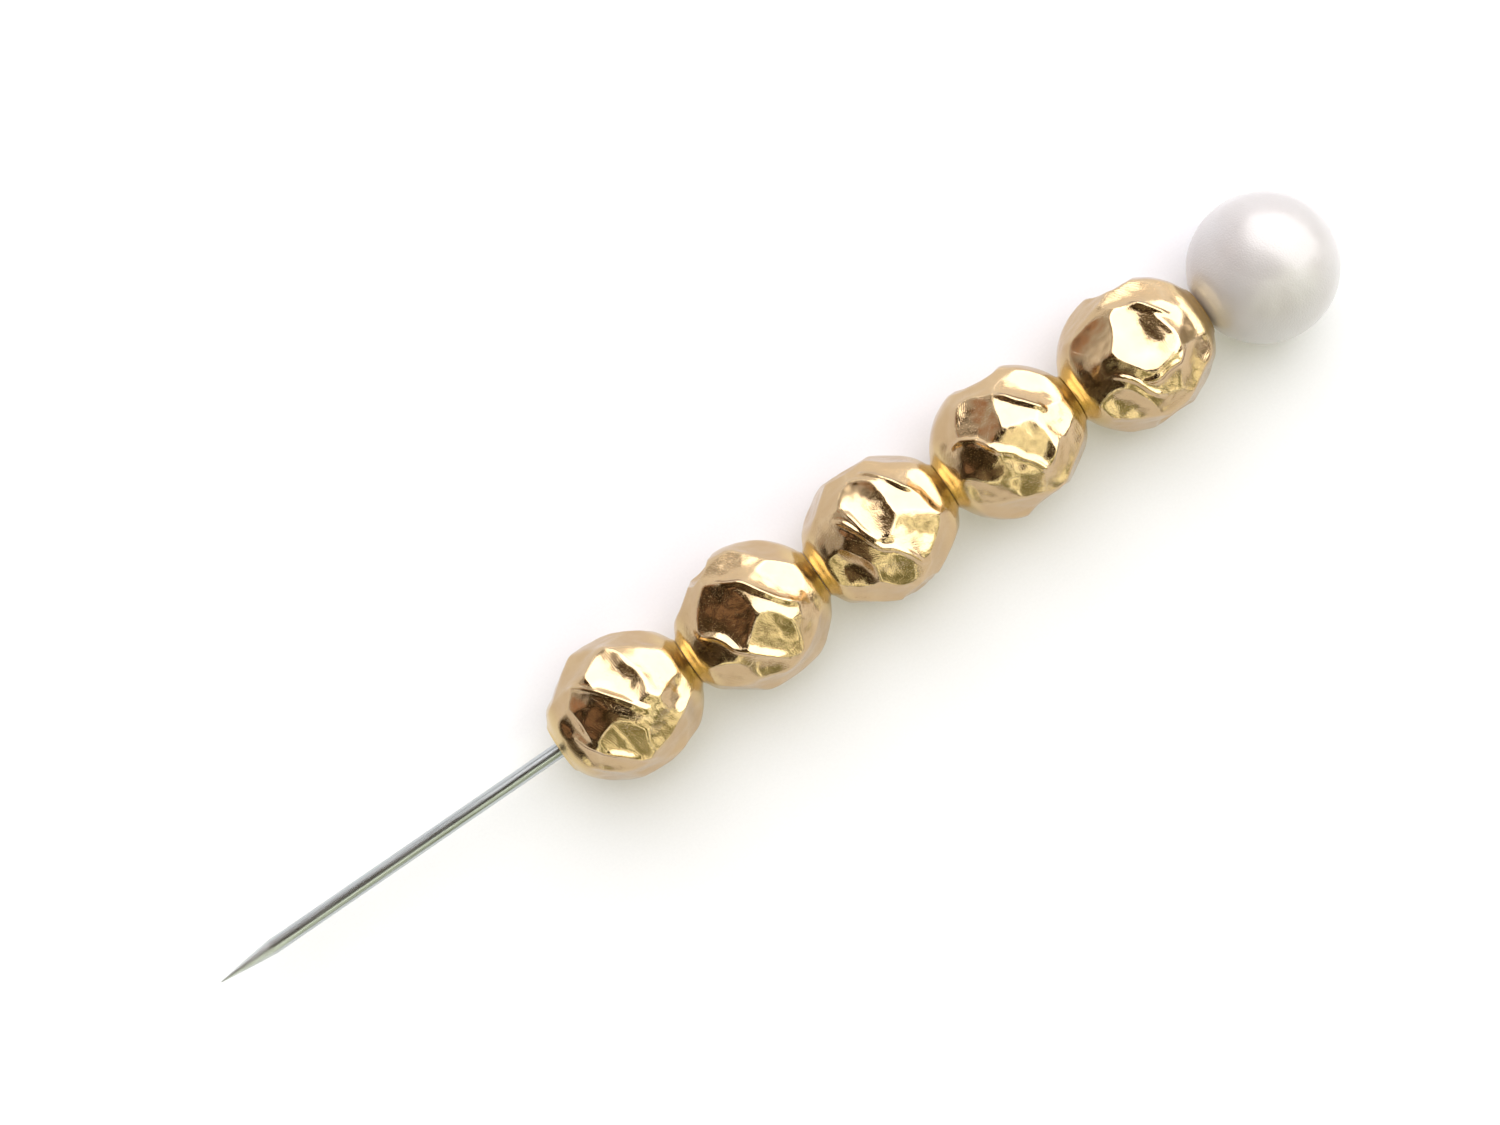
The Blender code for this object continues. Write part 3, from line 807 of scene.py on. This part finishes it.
def add_softbox(name, setup, watts, color):
    """A rectangular softbox aimed at the pin, set up as SOFTBOX values are."""
    azimuth, elevation, distance, width, height = setup
    angle = math.radians(azimuth)
    level = picture_direction(math.cos(angle), math.sin(angle))
    rise = math.radians(elevation)
    place = level * math.cos(rise) * distance
    place[2] = math.sin(rise) * distance
    light = bpy.data.lights.new(name, "AREA")
    light.shape = "RECTANGLE"
    light.size, light.size_y = width, height
    light.energy = watts
    light.color = color
    lamp = bpy.data.objects.new(name, light)
    lamp.location = place
    heading = math.atan2(level[1], level[0])
    lamp.rotation_euler = (math.pi / 2 - rise, 0.0, heading + math.pi / 2)
    lamp.visible_camera = False
    bpy.context.scene.collection.objects.link(lamp)
    return lamp


def make_lights():
    """The softboxes, with what shines back kept apart from what lights matt colour.

    The key is two lights in one place: the first is seen in reflections only, and the second lights
    matt colour only. The fill lights matt colour only.
    """
    shine = add_softbox("key_shine", KEY_SOFTBOX, KEY_SHINE_WATTS, SHINE_COLOR)
    shine.visible_diffuse = False
    for softbox in (
        add_softbox("key_softbox", KEY_SOFTBOX, KEY_WATTS, KEY_COLOR),
        add_softbox("fill_softbox", FILL_SOFTBOX, FILL_WATTS, FILL_COLOR),
    ):
        softbox.visible_glossy = False


def direction(around, down):
    """The unit direction turned from +X towards +Y and tilted down from overhead, in degrees."""
    turn, tilt = math.radians(around), math.radians(down)
    return (math.sin(tilt) * math.cos(turn), math.sin(tilt) * math.sin(turn), math.cos(tilt))


def window_mask(nodes, around, height, margin):
    """1 inside the window grown by a margin in radians, and 0 outside it."""
    middle, half = math.radians(WINDOW_AROUND), math.radians(WINDOW_HALF_WIDTH)
    side = half + margin
    away = nodes.math("ABSOLUTE", nodes.math("SUBTRACT", around, middle))
    beside = nodes.spread(away, side, side + WINDOW_SIDE_FADE, to_low=1.0, to_high=0.0)
    top = math.cos(math.radians(WINDOW_TOP) - margin)
    under = nodes.spread(height, top, top + WINDOW_TOP_FADE, to_low=1.0, to_high=0.0)
    return nodes.math("MULTIPLY", beside, under)


def make_world():
    """A dim brown room round the pin, with what its gold shows back.

    It is dark overhead, where the camera hangs, and pale low down and on the pin's far side. On the
    near side stands an olive window with pale bars, and two copper lamp shades hang on the far side,
    towards the point.
    """
    world = bpy.data.worlds.new("studio_room")
    bpy.context.scene.world = world
    nodes = Nodes(world)
    way = nodes.add("ShaderNodeTexCoord").outputs["Generated"]
    axes = nodes.add("ShaderNodeSeparateXYZ", Vector=way)
    height = axes.outputs["Z"]
    around = nodes.math("ARCTAN2", axes.outputs["Y"], axes.outputs["X"])

    clutter = nodes.noise(way, 3.2, detail=3.0, roughness=0.6, distortion=0.6)
    room = nodes.ramp(clutter, (0.40, 0.52, 0.66), ROOM)
    room = nodes.mix(nodes.spread(height, 0.955, 0.985), room, OVERHEAD)

    # The window: its frame, and within that its panes between the bars
    room = nodes.mix(window_mask(nodes, around, height, WINDOW_BAR), room, WINDOW_FRAME)
    panes = window_mask(nodes, around, height, 0.0)
    for bar in WINDOW_BARS:
        gap = nodes.math("ABSOLUTE", nodes.math("SUBTRACT", around, math.radians(bar)))
        clear = nodes.spread(gap, 0.5 * WINDOW_BAR, 0.8 * WINDOW_BAR)
        panes = nodes.math("MULTIPLY", panes, clear)
    view = nodes.ramp(nodes.noise(way, 5.0, detail=2.0), (0.40, 0.62), WINDOW_VIEW)
    room = nodes.mix(panes, room, view)

    # The pale horizon, which reaches higher on the far side
    far_side = nodes.math("MAXIMUM", axes.outputs["Y"], 0.0)
    low = nodes.math("SUBTRACT", height, nodes.math("MULTIPLY", far_side, 0.50))
    horizon = nodes.spread(low, 0.02, 0.20, to_low=1.0, to_high=0.0)
    room = nodes.mix(horizon, room, HORIZON)

    for around_shade, down, reach in LAMP_SHADES:
        shade = nodes.add("ShaderNodeVectorMath", {"operation": "DOT_PRODUCT"})
        nodes.feed(shade, "0", way)
        nodes.feed(shade, "1", direction(around_shade, down))
        edge = math.cos(math.radians(reach))
        glow = nodes.spread(shade.outputs["Value"], edge - LAMP_SHADE_FADE, edge + LAMP_SHADE_FADE)
        room = nodes.mix(glow, room, COPPER)

    background = nodes.add("ShaderNodeBackground", Color=room, Strength=1.0)
    output = nodes.add("ShaderNodeOutputWorld")
    nodes.tree.links.new(background.outputs[0], output.inputs[0])


def make_camera():
    """The camera hangs straight above the pin and looks down."""
    data = bpy.data.cameras.new("overhead_camera")
    data.sensor_width = SENSOR_WIDTH
    data.lens = SENSOR_WIDTH * CAMERA_ABOVE_SHAFT / PICTURE_WIDTH
    data.clip_start = 0.005
    data.clip_end = 20.0
    camera = bpy.data.objects.new("overhead_camera", data)
    camera.location = (CAMERA_X * MM, CAMERA_Y * MM, axis_height() + CAMERA_ABOVE_SHAFT * MM)
    camera.rotation_euler = (0.0, 0.0, -PICTURE_TURN)
    bpy.context.scene.collection.objects.link(camera)
    bpy.context.scene.camera = camera


def main():
    """Makes the pieces, then the studio round them."""
    make_beads(gold_material())
    make_pearl(pearl_material())
    make_wire(steel_material())
    dress_glue(glue_material())
    make_floor(floor_material())
    make_lights()
    make_world()
    make_camera()
    bpy.context.scene.view_settings.view_transform = "Standard"


main()
